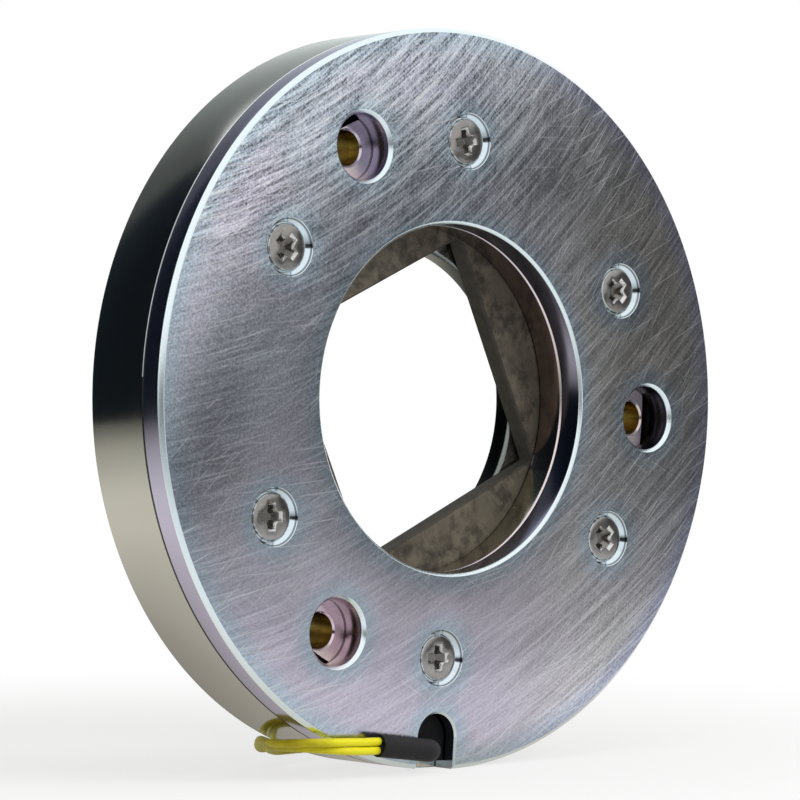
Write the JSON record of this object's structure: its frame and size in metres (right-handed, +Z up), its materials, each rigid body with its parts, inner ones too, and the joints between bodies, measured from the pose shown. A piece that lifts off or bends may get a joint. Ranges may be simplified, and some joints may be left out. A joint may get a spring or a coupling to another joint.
{
  "type": "spring applied brake",
  "caption": "Thin ring-shaped spring applied brake with a through bore, a square-holed friction disc, countersunk plate screws, rear mounting holes and a twin-wire lead.",
  "frame": {"origin": "centre of the mounting holes' circle, on the mounting face at the back", "axes": "+Z up, +X right as seen from the front, the front looks along -Y and +Y leaves the mounting face"},
  "size_m": [0.09, 0.0375, 0.09],
  "materials": {
    "zinc_plate": "zinc plated, cross-scratched, faintly iridescent",
    "armature_steel": "ground",
    "friction_lining": "matt moulded lining, mottled",
    "bobbin_plastic": "black nylon",
    "copper": "enamelled copper wire",
    "tape": "polyester tape",
    "spring_steel": "drawn wire",
    "bright_steel": "turned",
    "screw_steel": "nickel plated",
    "shrink_sleeve": "charcoal shrink sleeve",
    "wire_cover": "yellow insulation",
    "tie_plastic": "black nylon",
    "tinned_copper": "tinned strands"
  },
  "bodies": {
    "housing": {"housing": "zinc_plate", "front_plate": "zinc_plate", "magnet_core": "zinc_plate", "coil_bobbin": "bobbin_plastic", "coil_winding": "copper", "coil_tape": "tape", "spring_1": "spring_steel", "spring_2": "spring_steel", "spring_3": "spring_steel", "spring_4": "spring_steel", "spring_5": "spring_steel", "spring_6": "spring_steel", "spacer_1": "bright_steel", "spacer_2": "bright_steel", "spacer_3": "bright_steel", "spacer_4": "bright_steel", "spacer_5": "bright_steel", "spacer_6": "bright_steel", "mounting_sleeve_1": "bright_steel", "mounting_sleeve_2": "bright_steel", "mounting_sleeve_3": "bright_steel", "plate_screws": "screw_steel", "lead_sleeve": "shrink_sleeve", "lead_wire_a": "wire_cover", "lead_wire_b": "wire_cover", "lead_coil_a": "wire_cover", "lead_coil_b": "wire_cover", "lead_tie_a": "tie_plastic", "lead_tie_b": "tie_plastic", "lead_end_a": "tinned_copper", "lead_end_b": "tinned_copper"},
    "armature": {"armature": "armature_steel"},
    "rotor": {"friction_disc": "friction_lining"}
  },
  "joints": [
    {"name": "armature_release", "type": "slide", "parent": "housing", "child": "armature", "axis": [0, -1, 0], "range_m": [0, 0.00024], "deforming": ["spring_1", "spring_2", "spring_3", "spring_4", "spring_5", "spring_6"]},
    {"name": "disc_spin", "type": "hinge", "parent": "housing", "child": "rotor", "pos_m": [0, 0, 0], "axis": [0, 1, 0], "continuous": true}
  ]
}
